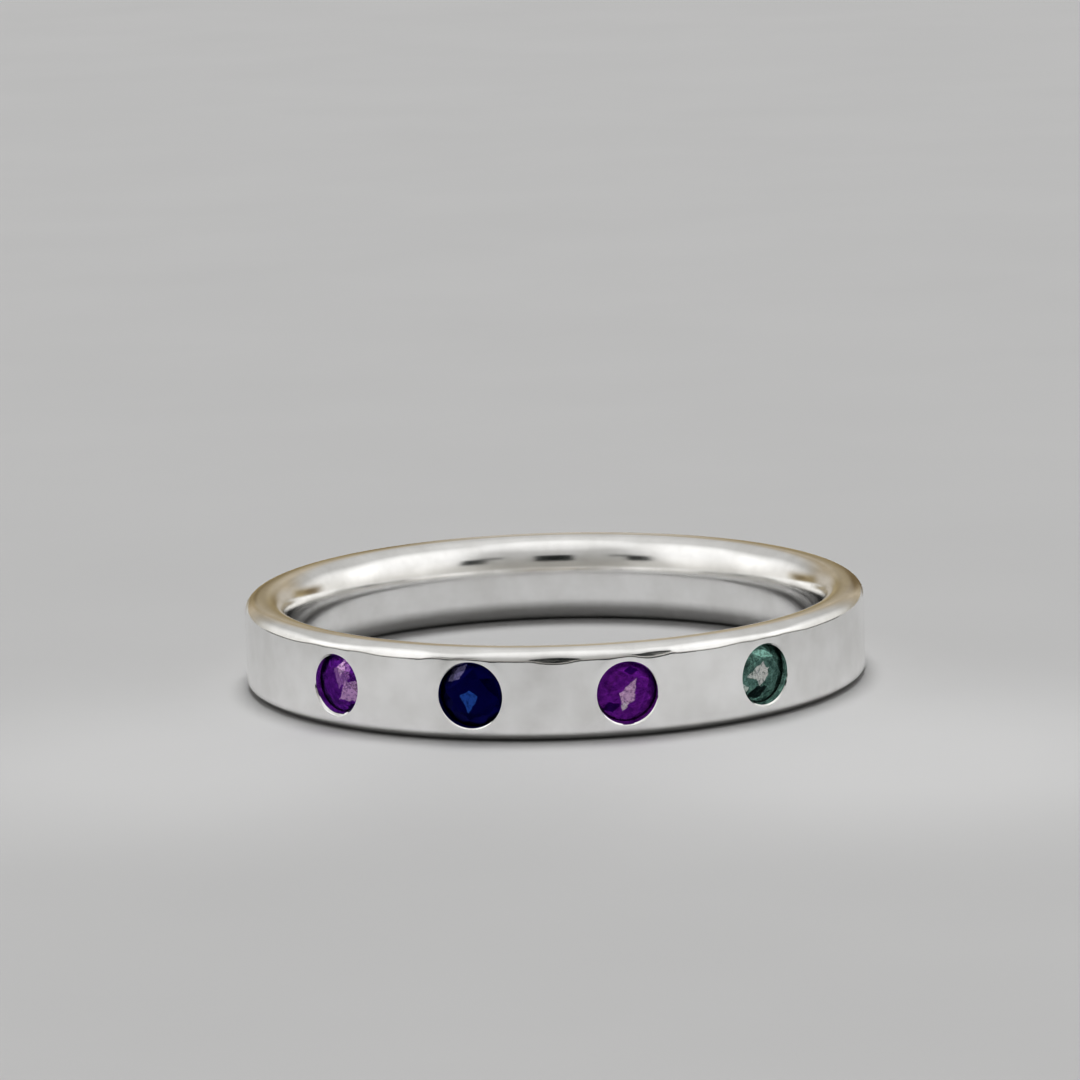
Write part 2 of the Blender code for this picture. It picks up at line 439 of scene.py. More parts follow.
band = add_piece("polished_band", band_shape)
cutter = add_piece("seat_cutters", seats)
boolean = band.modifiers.new("seats", "BOOLEAN")
boolean.operation = "DIFFERENCE"
boolean.solver = "EXACT"
boolean.object = cutter
depsgraph = bpy.context.evaluated_depsgraph_get()
cut_mesh = bpy.data.meshes.new_from_object(band.evaluated_get(depsgraph))
band.modifiers.clear()
band.data = cut_mesh
cut_mesh.name = "polished_band"
bpy.data.objects.remove(cutter)
print("faces of the band with its seats:", len(cut_mesh.polygons))

# %% [markdown]
# ## Shading the band smooth
#
# The band has over 70,000 faces, but it should look like one polished surface. Smooth shading
# blends the normals from face to face. Where two faces meet at a real edge, such as the rim of a
# seat, the edge is marked sharp, so that the blend stops there.

# %% Shade by angle
SHARP_ANGLE = math.radians(28)


def shade_smooth(piece, sharp_angle):
    shape = bmesh.new()
    shape.from_mesh(piece.data)
    bmesh.ops.remove_doubles(shape, verts=shape.verts, dist=MERGE_DISTANCE)
    for face in shape.faces:
        face.smooth = True
    for edge in shape.edges:
        edge.smooth = len(edge.link_faces) == 2 and edge.calc_face_angle(0) < sharp_angle
    open_edges = sum(not edge.is_manifold for edge in shape.edges)
    shape.to_mesh(piece.data)
    print(piece.name, "faces", len(shape.faces), "open edges", open_edges)
    shape.free()


shade_smooth(band, SHARP_ANGLE)
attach(band, "root")
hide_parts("band")

# %% [markdown]
# ## Grinding the stones
#
# A cutter grinds one flat facet after another from a rounded stone, and the model does the same.
# It starts from a round rod and takes away what lies beyond each facet's plane with
# `bmesh.ops.bisect_plane`, then fills the opening. The mains come first, then the stars and the
# halves, as on the wheel. A brilliant has a flat table, 32 crown facets and 24 pavilion facets.
# The rod has 64 sides, so the girdle stays round and every facet's lower edge is gently curved.


# %% Grind one facet
def on_circle(radius, turn, height):
    return Vector((radius * math.cos(turn), radius * math.sin(turn), height))


def grind(shape, corners, heart):
    """Grinds the facet that passes through three corners."""
    first, second, third = corners
    normal = (second - first).cross(third - first).normalized()
    if normal.dot(first - heart) < 0:
        normal.negate()
    parts = shape.verts[:] + shape.edges[:] + shape.faces[:]
    cut = bmesh.ops.bisect_plane(
        shape,
        geom=parts,
        dist=MERGE_DISTANCE / 10,
        plane_co=first,
        plane_no=normal,
        clear_outer=True,
    )
    rim = [part for part in cut["geom_cut"] if isinstance(part, bmesh.types.BMEdge)]
    open_rim = [edge for edge in rim if edge.is_boundary]
    if open_rim:
        bmesh.ops.edgeloop_fill(shape, edges=open_rim)


# %% Grind one round brilliant
ROD_SIDES = 64


def brilliant(diameter):
    cut = brilliant_cut(diameter)
    heart = Vector((0, 0, cut["girdle_foot"]))
    tip = Vector((0, 0, cut["point"]))
    shape = bmesh.new()
    bmesh.ops.create_cone(
        shape,
        cap_ends=True,
        segments=ROD_SIDES,
        radius1=cut["girdle"],
        radius2=cut["girdle"],
        depth=cut["top"] - cut["point"],
    )
    bmesh.ops.translate(shape, verts=shape.verts, vec=(0, 0, (cut["top"] + cut["point"]) / 2))
    turns = [FACET_STEP * i for i in range(MAIN_FACETS)]
    for turn in turns:
        sideways = on_circle(cut["girdle"], turn + math.pi / 2, 0)
        rim_top = on_circle(cut["girdle"], turn, cut["crown_foot"])
        rim_foot = on_circle(cut["girdle"], turn, cut["girdle_foot"])
        table_edge = on_circle(cut["table"], turn, cut["top"])
        grind(shape, (table_edge, rim_top, rim_top + sideways), heart)
        grind(shape, (tip, rim_foot, rim_foot + sideways), heart)
    for turn in turns:
        middle = turn + FACET_STEP / 2
        star_tip = on_circle(cut["star"], middle, cut["star_tip"])
        half_tip = on_circle(cut["half"], middle, cut["half_tip"])
        sides = (turn, turn + FACET_STEP)
        table_side = (on_circle(cut["table"], side, cut["top"]) for side in sides)
        grind(shape, (*table_side, star_tip), heart)
        for side in sides:
            ends = (side, middle)
            rim_top = (on_circle(cut["girdle"], end, cut["crown_foot"]) for end in ends)
            rim_foot = (on_circle(cut["girdle"], end, cut["girdle_foot"]) for end in ends)
            grind(shape, (*rim_top, star_tip), heart)
            grind(shape, (*rim_foot, half_tip), heart)
    bmesh.ops.remove_doubles(shape, verts=shape.verts, dist=MERGE_DISTANCE)
    bmesh.ops.recalc_face_normals(shape, faces=shape.faces)
    return shape


# %% [markdown]
# ## Setting the stones
#
# No setter lines up the facets of one stone with those of the next, so each stone is turned a
# little about its own axis before it goes to its place.

# %% Make and set the four stones
for name, stone in stones.items():
    shape = brilliant(stone["diameter"])
    turn = Matrix.Rotation(math.radians(stone["turn"]), 4, "Z")
    bmesh.ops.transform(shape, matrix=stone["place"] @ turn, verts=shape.verts)
    print(name, "facets and girdle faces:", len(shape.faces))
    gem = add_piece("cut_" + name, shape)
    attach(gem, "root")
    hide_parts(name)
    stone["gem"] = gem

# %% [markdown]
# ## Materials: helpers
#
# Every finish is built from shader nodes. Object coordinates are in metres, and they don't slide
# when the ring moves, so each pattern is sized in millimetres with the short helpers below.


# %% Short ways to add nodes
def new_material(name):
    made = bpy.data.materials.new(name)
    made.use_nodes = True
    return made, made.node_tree.nodes["Principled BSDF"]


def new_group(name, inputs, outputs):
    """A node group with named number inputs and outputs, and its two end nodes."""
    group = bpy.data.node_groups.new(name, "ShaderNodeTree")
    group.interface.new_socket("Position", in_out="INPUT", socket_type="NodeSocketVector")
    for label, value in inputs.items():
        socket = group.interface.new_socket(label, in_out="INPUT", socket_type="NodeSocketFloat")
        socket.default_value = value
    for label in outputs:
        group.interface.new_socket(label, in_out="OUTPUT", socket_type="NodeSocketFloat")
    return group, group.nodes.new("NodeGroupInput"), group.nodes.new("NodeGroupOutput")


def wire(tree, value, socket):
    """Links a socket, or sets a plain value."""
    if isinstance(value, bpy.types.NodeSocket):
        tree.links.new(value, socket)
    else:
        socket.default_value = value


def math_node(tree, operation, first, second=0.0):
    node = tree.nodes.new("ShaderNodeMath")
    node.operation = operation
    wire(tree, first, node.inputs[0])
    wire(tree, second, node.inputs[1])
    return node.outputs["Value"]


def noise_node(tree, position, size, detail=2.0, roughness=0.5):
    """Soft random blotches from 0 to 1, of about the given size. A socket gives its inverse."""
    node = tree.nodes.new("ShaderNodeTexNoise")
    wire(tree, position, node.inputs["Vector"])
    node.inputs["Detail"].default_value = detail
    node.inputs["Roughness"].default_value = roughness
    wire(tree, 1 / size if isinstance(size, float) else size, node.inputs["Scale"])
    return node.outputs["Fac"]


def stretch(tree, position, scale):
    """Stretches a pattern by a different amount along each axis."""
    node = tree.nodes.new("ShaderNodeMapping")
    wire(tree, position, node.inputs["Vector"])
    node.inputs["Scale"].default_value = scale
    return node.outputs["Vector"]


def remap(tree, value, low, high, new_low=0.0, new_high=1.0):
    node = tree.nodes.new("ShaderNodeMapRange")
    wire(tree, value, node.inputs["Value"])
    ends = {"From Min": low, "From Max": high, "To Min": new_low, "To Max": new_high}
    for label, number in ends.items():
        wire(tree, number, node.inputs[label])
    return node.outputs["Result"]


def mix_colors(tree, share, first, second):
    node = tree.nodes.new("ShaderNodeMix")
    node.data_type = "RGBA"
    wire(tree, share, node.inputs["Factor"])
    wire(tree, first, node.inputs[6])
    wire(tree, second, node.inputs[7])
    return node.outputs[2]


# %% [markdown]
# ## Silver, polished by hand
#
# Polished silver is a nearly perfect mirror, so its look is made by what it reflects and by how
# it is not perfect. The polishing wheel leaves waves a millimetre or two across, hairlines that
# run round the band or at a slant, and a faint haze where it was wiped. Each of these is a small
# change of height, roughness or colour. They are gathered in one node group, with the amounts as
# inputs.

# %% The hand polish group
ROUND_LINE_SIZE = 2.0 * MM
SLANT_LINE_SIZE = 1.6 * MM
HAZE_SIZE = 1.5 * MM
polish, polish_in, polish_out = new_group(
    "Hand polish",
    {
        "Wave Size": 1.4 * MM,
        "Wave Height": 1.0,
        "Hairline Height": 0.15,
        "Roughness": 0.13,
        "Haze": 0.06,
    },
    ("Height", "Roughness", "Tarnish"),
)
position = polish_in.outputs["Position"]
waves = noise_node(
    polish, position, math_node(polish, "DIVIDE", 1.0, polish_in.outputs["Wave Size"]), detail=1.0
)
round_band = stretch(polish, position, (1, 1, 40))
round_lines = noise_node(polish, round_band, ROUND_LINE_SIZE, detail=3.0)
slant = polish.nodes.new("ShaderNodeMapping")
slant.inputs["Rotation"].default_value = (0.5, 0.9, 0.3)
slant.inputs["Scale"].default_value = (1, 30, 1)
wire(polish, position, slant.inputs["Vector"])
slant_lines = noise_node(polish, slant.outputs["Vector"], SLANT_LINE_SIZE, detail=3.0)
hairlines = math_node(polish, "ADD", round_lines, slant_lines)
height = math_node(
    polish,
    "ADD",
    math_node(polish, "MULTIPLY", waves, polish_in.outputs["Wave Height"]),
    math_node(polish, "MULTIPLY", hairlines, polish_in.outputs["Hairline Height"]),
)
clouds = noise_node(polish, position, HAZE_SIZE, detail=4.0, roughness=0.6)
haze = math_node(polish, "MULTIPLY", remap(polish, clouds, 0.45, 0.75), polish_in.outputs["Haze"])
wire(polish, height, polish_out.inputs["Height"])
wire(
    polish,
    math_node(polish, "ADD", haze, polish_in.outputs["Roughness"]),
    polish_out.inputs["Roughness"],
)
wire(polish, remap(polish, clouds, 0.35, 0.70), polish_out.inputs["Tarnish"])
print("nodes in the hand polish group:", len(polish.nodes))

# %% The silver material
BRIGHT_SILVER = (0.99, 0.988, 0.983, 1)
DULL_SILVER = (0.89, 0.886, 0.875, 1)
WAVE_DEPTH = 0.0008 * MM
silver, silver_shader = new_material("polished_silver")
tree = silver.node_tree
coordinates = tree.nodes.new("ShaderNodeTexCoord")
polish_node = tree.nodes.new("ShaderNodeGroup")
polish_node.node_tree = polish
wire(tree, coordinates.outputs["Object"], polish_node.inputs["Position"])
wire(
    tree,
    mix_colors(tree, polish_node.outputs["Tarnish"], BRIGHT_SILVER, DULL_SILVER),
    silver_shader.inputs["Base Color"],
)
silver_shader.inputs["Metallic"].default_value = 1.0
wire(tree, polish_node.outputs["Roughness"], silver_shader.inputs["Roughness"])
bump = tree.nodes.new("ShaderNodeBump")
bump.inputs["Strength"].default_value = 1.0
bump.inputs["Distance"].default_value = WAVE_DEPTH
wire(tree, polish_node.outputs["Height"], bump.inputs["Height"])
wire(tree, bump.outputs["Normal"], silver_shader.inputs["Normal"])
band.data.materials.clear()
band.data.materials.append(silver)
print("nodes in the silver:", len(tree.nodes))

# %% [markdown]
# ## Stones that bend the light
#
# The stones are sapphires and the like: clear crystals with a high index of refraction. Most of
# what the eye sees in them is light thrown back by their polished facets, in the stone's own
# colour. So the material is mostly a tinted mirror and partly tinted glass, and the facets do the
# rest. The colour isn't even: natural stones have clouds, which one node group makes from noise.
# The same clouds also bend the light a little, so each facet's reflection is mottled.
#
# Where a back facet throws the light straight out again, a real stone shows a bright kite-shaped
# patch, and it shows a dark one where the light leaks out. Here these patches are painted into
# the stones' colour: the bright kites are painted reflections, the dark ones painted shade. A
# second group draws one such kite.
# Both groups work in the stone's own measure: the Mapping node puts the origin at the stone's
# middle and makes its radius 1, whatever the stone's size and place.

# %% The crystal clouds group
SPECK_SIZE = 0.09  # in stone radii
crystal, crystal_in, crystal_out = new_group(
    "Crystal clouds", {"Cloud Size": 0.3, "Contrast": 1.0}, ("Clouds", "Specks")
)
position = crystal_in.outputs["Position"]
cloud_scale = math_node(crystal, "DIVIDE", 1.0, crystal_in.outputs["Cloud Size"])
cloud = noise_node(crystal, position, cloud_scale, detail=5.0, roughness=0.65)
spread = math_node(crystal, "MULTIPLY", math_node(crystal, "SUBTRACT", cloud, 0.5), 4.0)
spread = math_node(crystal, "MULTIPLY", spread, crystal_in.outputs["Contrast"])
wire(crystal, remap(crystal, spread, -1.0, 1.0), crystal_out.inputs["Clouds"])
specks = noise_node(crystal, position, SPECK_SIZE, detail=3.0, roughness=0.6)
wire(crystal, remap(crystal, specks, 0.48, 0.66, 0.0, 0.6), crystal_out.inputs["Specks"])
print("nodes in the crystal clouds group:", len(crystal.nodes))

# %% The painted kite group
RAGGED_SIZE = 0.16  # in stone radii
# One kite is a bright patch of painted reflection or a dark patch of painted shade.
kite, kite_in, kite_out = new_group(
    "Painted facet kite",
    {"Right": 0.0, "Up": 0.0, "Angle": 0.0, "Ahead": 0.4, "Behind": 0.2, "Half Width": 0.2},
    ("Kite",),
)
spot = kite.nodes.new("ShaderNodeSeparateXYZ")
wire(kite, kite_in.outputs["Position"], spot.inputs["Vector"])
across = math_node(kite, "SUBTRACT", spot.outputs["X"], kite_in.outputs["Right"])
upward = math_node(kite, "SUBTRACT", spot.outputs["Y"], kite_in.outputs["Up"])
cosine = math_node(kite, "COSINE", kite_in.outputs["Angle"])
sine = math_node(kite, "SINE", kite_in.outputs["Angle"])
across_part = math_node(kite, "MULTIPLY", across, cosine)
upward_part = math_node(kite, "MULTIPLY", upward, sine)
along = math_node(kite, "ADD", across_part, upward_part)
across_part = math_node(kite, "MULTIPLY", across, sine)
upward_part = math_node(kite, "MULTIPLY", upward, cosine)
aside = math_node(kite, "SUBTRACT", upward_part, across_part)
ahead = math_node(kite, "DIVIDE", along, kite_in.outputs["Ahead"])
backward = math_node(kite, "MULTIPLY", along, -1.0)
behind = math_node(kite, "DIVIDE", backward, kite_in.outputs["Behind"])
off_axis = math_node(kite, "ABSOLUTE", aside)
wide = math_node(kite, "DIVIDE", off_axis, kite_in.outputs["Half Width"])
reach = math_node(kite, "ADD", math_node(kite, "MAXIMUM", ahead, behind), wide)
ragged = noise_node(kite, kite_in.outputs["Position"], RAGGED_SIZE, detail=2.0)
reach = math_node(kite, "ADD", reach, math_node(kite, "MULTIPLY", ragged, 0.6))
wire(kite, remap(kite, reach, 1.36, 1.26), kite_out.inputs["Kite"])
print("nodes in the kite group:", len(kite.nodes))

# %% The stones' colours
# A kite, a painted reflection or a patch of painted shade: right, up, angle in degrees, ahead,
# behind and half width in stone radii, and colour.
gem_finishes = {
    "left_purple_stone": {
        "dark": (0.10, 0.003, 0.25), "light": (0.35, 0.06, 0.62),
        "cloud": 0.20, "contrast": 1.3,
        "kites": (
            (0.26, 0.34, 75, 0.56, 0.50, 0.36, (0.58, 0.30, 0.72)),
            (0.60, -0.22, 210, 0.52, 0.62, 0.40, (0.88, 0.58, 0.94)),
            (0.22, 0.50, 80, 0.28, 0.24, 0.16, (0.95, 0.66, 1.0)),
            (0.55, -0.78, 200, 0.36, 0.30, 0.16, (0.03, 0.0, 0.10)),
        ),
    },
    "blue_stone": {
        "dark": (0.002, 0.001, 0.09), "light": (0.003, 0.003, 0.16),
        "cloud": 0.50, "contrast": 0.7,
        "kites": (
            (-0.05, -0.02, 267, 0.52, 0.15, 0.28, (0.05, 0.17, 0.62)),
            (-0.44, 0.60, 42, 0.42, 0.38, 0.18, (0.26, 0.24, 0.42)),
        ),
    },
    "right_purple_stone": {
        "dark": (0.14, 0.0035, 0.30), "light": (0.47, 0.07, 0.72),
        "cloud": 0.18, "contrast": 1.3,
        "kites": (
            (-0.02, -0.16, 62, 0.66, 0.38, 0.26, (1.0, 0.72, 1.0)),
            (-0.12, -0.44, 250, 0.18, 0.14, 0.12, (1.0, 0.90, 1.0)),
            (-0.52, -0.46, 20, 0.30, 0.28, 0.18, (0.05, 0.0, 0.16)),
            (0.12, 0.64, 0, 0.26, 0.22, 0.12, (0.06, 0.0, 0.18)),
        ),
    },
    "green_stone": {
        "dark": (0.07, 0.15, 0.135), "light": (0.36, 0.60, 0.53),
        "cloud": 0.20, "contrast": 1.5,
        "kites": (
            (-0.04, 0.62, 165, 0.56, 0.50, 0.13, (0.42, 0.70, 0.62)),
            (-0.30, 0.06, 12, 0.46, 0.46, 0.24, (0.95, 0.98, 0.95)),
            (-0.16, 0.02, 78, 0.40, 0.42, 0.30, (1.0, 1.0, 0.98)),
            (-0.80, -0.42, 290, 0.34, 0.30, 0.16, (0.86, 0.95, 0.90)),
            (-0.32, -0.56, 20, 0.38, 0.38, 0.22, (0.012, 0.03, 0.03)),
        ),
    },
}
print("kites in the stones:", sum(len(finish["kites"]) for finish in gem_finishes.values()))

# %% One material for each stone
KITE_LABELS = ("Right", "Up", "Angle", "Ahead", "Behind", "Half Width")
RIPPLE_HEIGHT = 0.014 * MM
FACET_ROUGHNESS = 0.2
MIRROR_SHARE = 0.75
SAPPHIRE_IOR = 1.77
for name, finish in gem_finishes.items():
    stone = stones[name]
    made, shader = new_material("cut_" + stone["slot"])
    tree = made.node_tree
    to_stone = Matrix.Scale(2 / stone["diameter"], 4) @ stone["place"].inverted()
    own_measure = tree.nodes.new("ShaderNodeMapping")
    own_measure.inputs["Location"].default_value = to_stone.to_translation()
    own_measure.inputs["Rotation"].default_value = to_stone.to_euler()
    own_measure.inputs["Scale"].default_value = to_stone.to_scale()
    coordinates = tree.nodes.new("ShaderNodeTexCoord")
    wire(tree, coordinates.outputs["Object"], own_measure.inputs["Vector"])
    clouds_node = tree.nodes.new("ShaderNodeGroup")
    clouds_node.node_tree = crystal
    clouds_node.inputs["Cloud Size"].default_value = finish["cloud"]
    clouds_node.inputs["Contrast"].default_value = finish["contrast"]
    wire(tree, own_measure.outputs["Vector"], clouds_node.inputs["Position"])
    dark = (*finish["dark"], 1)
    color = mix_colors(tree, clouds_node.outputs["Clouds"], dark, (*finish["light"], 1))
    # Each kite paints a reflection or a patch of shade into the stone's base colour.
    for right, up, angle, ahead, behind, half_width, painted_kite_color in finish["kites"]:
        kite_node = tree.nodes.new("ShaderNodeGroup")
        kite_node.node_tree = kite
        wire(tree, own_measure.outputs["Vector"], kite_node.inputs["Position"])
        values = (right, up, math.radians(angle), ahead, behind, half_width)
        for label, value in zip(KITE_LABELS, values):
            kite_node.inputs[label].default_value = value
        color = mix_colors(tree, kite_node.outputs["Kite"], color, (*painted_kite_color, 1))
    color = mix_colors(tree, clouds_node.outputs["Specks"], color, dark)
    wire(tree, color, shader.inputs["Base Color"])
    ripple = tree.nodes.new("ShaderNodeBump")
    ripple.inputs["Strength"].default_value = 1.0
    ripple.inputs["Distance"].default_value = RIPPLE_HEIGHT
    wire(tree, clouds_node.outputs["Clouds"], ripple.inputs["Height"])
    wire(tree, ripple.outputs["Normal"], shader.inputs["Normal"])
    shader.inputs["Roughness"].default_value = FACET_ROUGHNESS
    shader.inputs["Metallic"].default_value = MIRROR_SHARE
    shader.inputs["IOR"].default_value = SAPPHIRE_IOR
    shader.inputs["Specular Tint"].default_value = (0.1, 0.1, 0.1, 1)
    shader.inputs["Transmission Weight"].default_value = 1.0
    gem = stone["gem"]
    gem.data.materials.clear()
    gem.data.materials.append(made)
    print(made.name, "nodes", len(tree.nodes))

# %% [markdown]
# ## The floor
#
# A plain pale floor, wide enough to fill the view from every side. It isn't part of the ring. It
# lies a hair under the ring, so that the two never share a plane. It is quite matt: with any
# gloss it would mirror the dark sheets that stand round the ring.


# %% Lay the floor
def flat_sheet(name, width, depth, place):
    """A flat rectangle, made lying down and then put in place."""
    shape = bmesh.new()
    bmesh.ops.create_grid(shape, x_segments=1, y_segments=1, size=0.5)
    bmesh.ops.scale(shape, vec=(width, depth, 1), verts=shape.verts)
    bmesh.ops.transform(shape, matrix=place, verts=shape.verts)
    return add_piece(name, shape)


FLOOR_WIDTH = 4.0
FLOOR_GAP = 0.003 * MM
PATCH_SIZE = 14 * MM
DARK_PAINT = (0.62, 0.62, 0.622, 1)
PALE_PAINT = (0.65, 0.65, 0.652, 1)
floor = flat_sheet("floor", FLOOR_WIDTH, FLOOR_WIDTH, Matrix.Translation((0, 0, -FLOOR_GAP)))
paint, paint_shader = new_material("pale_floor")
tree = paint.node_tree
coordinates = tree.nodes.new("ShaderNodeTexCoord")
patches = noise_node(tree, coordinates.outputs["Object"], PATCH_SIZE, detail=3.0)
paint_color = mix_colors(tree, patches, DARK_PAINT, PALE_PAINT)
wire(tree, paint_color, paint_shader.inputs["Base Color"])
paint_shader.inputs["Roughness"].default_value = 0.6
paint_shader.inputs["Specular IOR Level"].default_value = 0.0
floor.data.materials.append(paint)
print(f"floor {FLOOR_WIDTH:.0f} m wide, {1000 * FLOOR_GAP:.3f} mm under the ring")

# %% [markdown]
# ## The studio
#
# A mirror shows its surroundings, so a photographer of jewellery lights the surroundings rather
# than the ring. Here the ring stands in a light tent: its cloth walls glow softly, brightest
# where a lamp stands behind them. The tent is the world's background. Its colour is worked out
# from the direction alone: a ramp gives the walls from the table's edge to the top, and each
# lamp adds a round soft patch. The wall behind is warm, like wood.

# %% The tent's walls
room = bpy.data.worlds.new("light_tent")
bpy.context.scene.world = room
room.use_nodes = True
tree = room.node_tree
toward = tree.nodes.new("ShaderNodeTexCoord").outputs["Generated"]
split = tree.nodes.new("ShaderNodeSeparateXYZ")
wire(tree, toward, split.inputs["Vector"])
walls = tree.nodes.new("ShaderNodeValToRGB")
wire(tree, split.outputs["Z"], walls.inputs["Fac"])
WALL_TONES = (
    (0.00, (0.47, 0.455, 0.42)),
    (0.26, (0.50, 0.49, 0.47)),
    (0.50, (0.595, 0.59, 0.58)),
    (0.80, (0.67, 0.665, 0.655)),
    (1.00, (0.785, 0.78, 0.77)),
)
tones = walls.color_ramp.elements
while len(tones) < len(WALL_TONES):
    tones.new(0.5)
for tone, (place, color) in zip(tones, WALL_TONES):
    tone.position = place
    tone.color = (*color, 1)
print("tones of the tent's walls:", len(tones))

# %% The warm wall behind
# It is warm where the direction points back (Y near 1) and not too far up (small Z).
low_down = remap(tree, split.outputs["Z"], 0.60, 0.35)
behind = remap(tree, split.outputs["Y"], 0.74, 0.92)
warmth = math_node(tree, "MULTIPLY", low_down, behind)
WARM_PATCH_SIZE = 0.22
DARK_WARM = (0.42, 0.35, 0.24, 1)
PALE_WARM = (0.62, 0.55, 0.44, 1)
warm_patches = remap(tree, noise_node(tree, toward, WARM_PATCH_SIZE, detail=3.0), 0.35, 0.65)
warm_wall = mix_colors(tree, warm_patches, DARK_WARM, PALE_WARM)
tent = mix_colors(tree, warmth, walls.outputs["Color"], warm_wall)
print("nodes in the tent so far:", len(tree.nodes))

# %% The lamps behind the cloth
# Azimuth 0 is in front of the ring and 90 on its right. Inner and outer are the patch's radii, in
# degrees too. A glow below zero is a place where the cloth is darker.
LAMPS = (
    {"azimuth": 0, "elevation": 66, "inner": 8, "outer": 32, "glow": 0.21},
    {"azimuth": 76, "elevation": 32, "inner": 10, "outer": 39, "glow": 0.42},
    {"azimuth": -76, "elevation": 32, "inner": 10, "outer": 39, "glow": 0.42},
    {"azimuth": 114, "elevation": 12, "inner": 6, "outer": 32, "glow": 0.38},
    {"azimuth": -114, "elevation": 12, "inner": 6, "outer": 32, "glow": 0.38},
    {"azimuth": 50, "elevation": 6, "inner": 4, "outer": 24, "glow": 0.14},
    {"azimuth": -50, "elevation": 6, "inner": 4, "outer": 24, "glow": 0.14},
    {"azimuth": 0, "elevation": 28, "inner": 22, "outer": 42, "glow": -0.05},
)


def direction(azimuth, elevation):
    flat = math.cos(math.radians(elevation))
    side, front = math.sin(math.radians(azimuth)), -math.cos(math.radians(azimuth))
    return flat * side, flat * front, math.sin(math.radians(elevation))


TENT_SHARE = 0.45  # of the tent's light that the floor gets
glow = 0.0
for lamp in LAMPS:
    closeness = tree.nodes.new("ShaderNodeVectorMath")
    closeness.operation = "DOT_PRODUCT"
    wire(tree, toward, closeness.inputs[0])
    closeness.inputs[1].default_value = direction(lamp["azimuth"], lamp["elevation"])
    edge, heart = (math.cos(math.radians(lamp[part])) for part in ("outer", "inner"))
    patch = remap(tree, closeness.outputs["Value"], edge, heart, 0.0, lamp["glow"])
    patch.node.interpolation_type = "SMOOTHSTEP"
    glow = math_node(tree, "ADD", patch, glow)
lit = tree.nodes.new("ShaderNodeVectorMath")
wire(tree, tent, lit.inputs[0])
wire(tree, glow, lit.inputs[1])
wire(tree, lit.outputs["Vector"], tree.nodes["Background"].inputs["Color"])
ray = tree.nodes.new("ShaderNodeLightPath")
strength = remap(tree, ray.outputs["Is Diffuse Ray"], 0.0, 1.0, 1.0, TENT_SHARE)
wire(tree, strength, tree.nodes["Background"].inputs["Strength"])
print("lamps behind the tent's cloth:", len(LAMPS))

# %% [markdown]
# ## A lamp for the table
#
# One wide soft lamp stands far behind and above the ring. It lights the floor and draws the soft
# shadow in front of the ring and under its back. A sun with a wide angle is such a lamp, and it
# lights the whole floor alike. So that its shadow stays deep, the tent gives the floor only a
# share of its light. The metal doesn't show the lamp, as the tent's glow already stands for it.

# %% Set up the back lamp
BACK_LAMP_TILT = math.radians(-14)
BACK_LAMP_WIDTH = math.radians(28)
BACK_LAMP_POWER = 1.88
lamp_data = bpy.data.lights.new("back_lamp", "SUN")
lamp_data.energy = BACK_LAMP_POWER
lamp_data.angle = BACK_LAMP_WIDTH
back_lamp = bpy.data.objects.new("back_lamp", lamp_data)
back_lamp.rotation_euler = (BACK_LAMP_TILT, 0, 0)
back_lamp.visible_glossy = False
back_lamp.visible_transmission = False
bpy.context.scene.collection.objects.link(back_lamp)
print(f"back lamp {math.degrees(lamp_data.angle):.0f} degrees wide")

# %% Two soft pools of light on the table
# The side lamps also throw light onto the table in front of the ring, and the face mirrors it.
POOLS = ((-12 * MM, -12 * MM, 0.29), (11 * MM, -14 * MM, 0.36))  # place and power
POOL_HEIGHT = 0.15
POOL_WIDTH = 0.017
POOL_LAMP_RADIUS = 0.01
for right, forward, power in POOLS:
    pool_data = bpy.data.lights.new("pool", "SPOT")
    pool_data.energy = power
    pool_data.spot_size = 2 * math.atan2(POOL_WIDTH / 2, POOL_HEIGHT)
    pool_data.spot_blend = 1.0
    pool_data.shadow_soft_size = POOL_LAMP_RADIUS
    pool = bpy.data.objects.new("pool", pool_data)
    pool.location = (right, forward, POOL_HEIGHT)
    pool.visible_glossy = False
    pool.visible_transmission = False
    bpy.context.scene.collection.objects.link(pool)
print("pools of light on the table:", len(POOLS))

# %% [markdown]
# ## Dark things in front
#
# The camera stands in an opening of the tent, with a stand and an arm on each side, and low black
# and grey cloths stand round the front of the table. Their reflections give the mirror its few
# black accents. They are sheets that only mirrors can see: a flat one far off for each dark thing
# in front, and low curved ones round the ring.

# %% Sheets that only mirrors see
FAR_OFF = 0.60
CURVE_STEPS = 32


def glow_material(name, color):
    made = bpy.data.materials.new(name)
    made.use_nodes = True
    tree = made.node_tree
    tree.nodes.remove(tree.nodes["Principled BSDF"])
    shine = tree.nodes.new("ShaderNodeEmission")
    shine.inputs["Color"].default_value = (*color, 1)
    wire(tree, shine.outputs["Emission"], tree.nodes["Material Output"].inputs["Surface"])
    return made


def stand_up(sheet, finish):
    """Gives a sheet its finish, and lets only mirrors see it."""
    sheet.data.materials.append(finish)
    sheet.visible_camera = False
    sheet.visible_diffuse = False
    sheet.visible_transmission = False
    sheet.visible_shadow = False


def far_card(name, azimuth, low, high, half_width, finish):
    """An upright sheet far off that faces the ring, given by the angles it fills in degrees."""
    bottom, top = (FAR_OFF * math.tan(math.radians(angle)) for angle in (low, high))
    width = 2 * FAR_OFF * math.tan(math.radians(half_width))
    place = (
        Matrix.Rotation(math.radians(azimuth), 4, "Z")
        @ Matrix.Translation((0, -FAR_OFF, (bottom + top) / 2))
        @ Matrix.Rotation(math.pi / 2, 4, "X")
    )
    stand_up(flat_sheet(name, width, top - bottom, place), finish)


